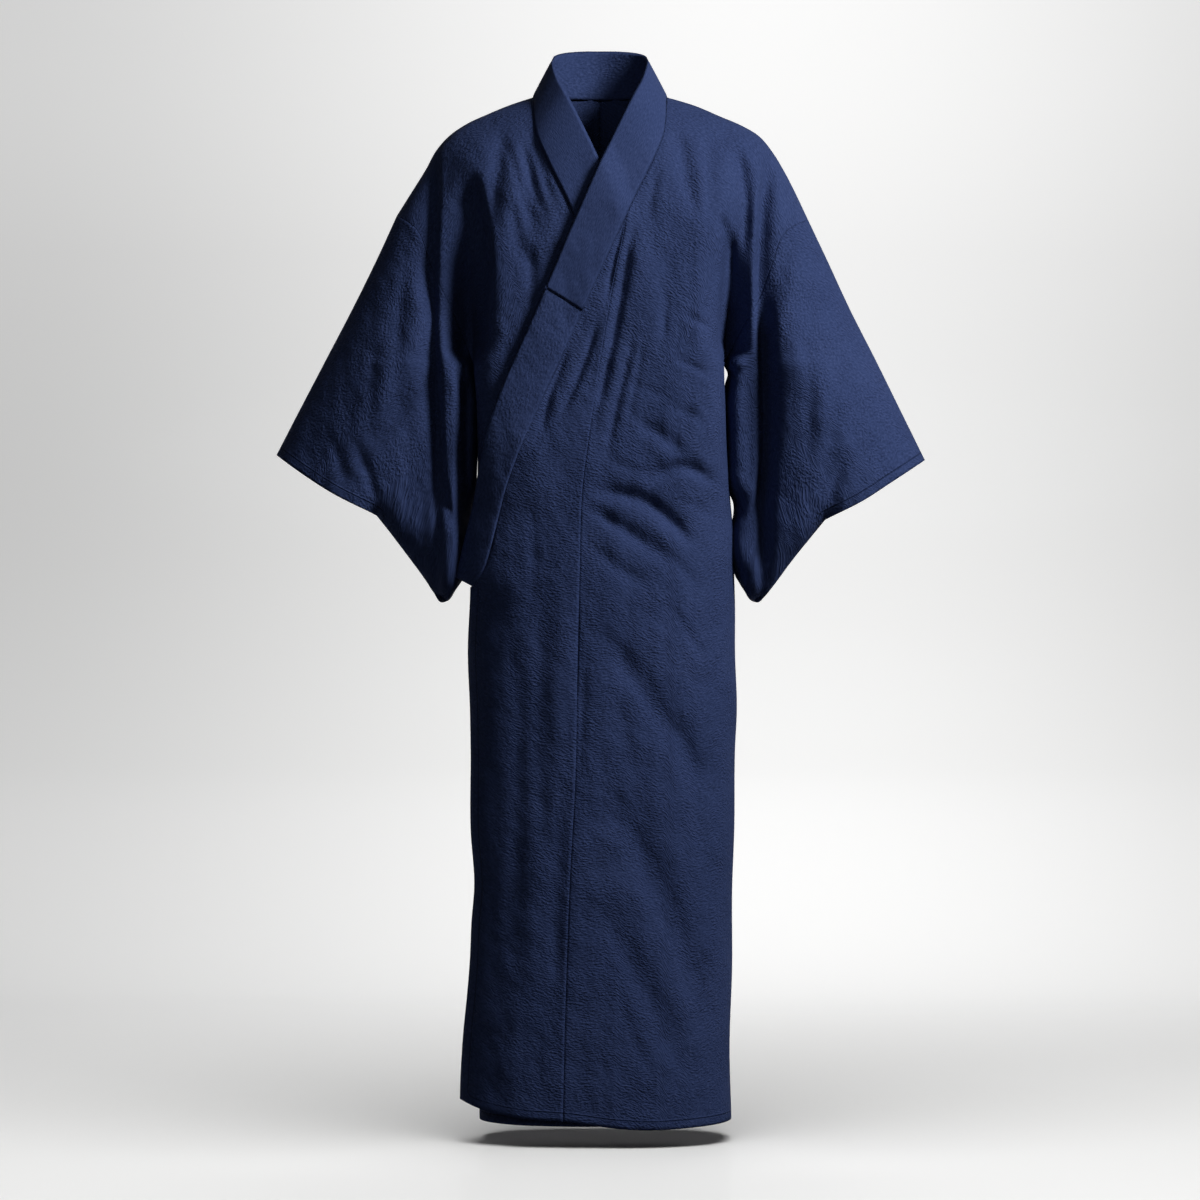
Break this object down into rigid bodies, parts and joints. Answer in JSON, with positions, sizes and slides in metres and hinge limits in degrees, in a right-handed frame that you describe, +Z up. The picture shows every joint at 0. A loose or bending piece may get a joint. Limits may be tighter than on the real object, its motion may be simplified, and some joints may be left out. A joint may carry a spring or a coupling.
{
  "type": "yukata robe",
  "caption": "Ankle-length cotton yukata robe, hollow as if worn: left front over right, V neck with a folded collar band, wide sleeves hanging as open bags.",
  "frame": {"origin": "between the two neck points, at the height of the shoulder line, where the wearer's shoulders hold the robe up", "axes": "+Z up, the front faces -Y, +X towards the wearer's left"},
  "size_m": [0.8958, 0.2658, 1.4819],
  "materials": {
    "indigo_cotton": "matte crinkled cotton, dark indigo",
    "folded_collar_cotton": "matte crinkled cotton, dark indigo, folded in layers",
    "smooth_collar_cotton": "matte smoother cotton, dark indigo"
  },
  "bodies": {
    "root": {"body_left": "indigo_cotton", "body_right": "indigo_cotton", "okumi_left": "indigo_cotton", "okumi_right": "indigo_cotton", "sleeve_left": "indigo_cotton", "sleeve_right": "indigo_cotton", "collar": "folded_collar_cotton", "over_collar": "smooth_collar_cotton"}
  },
  "joints": []
}
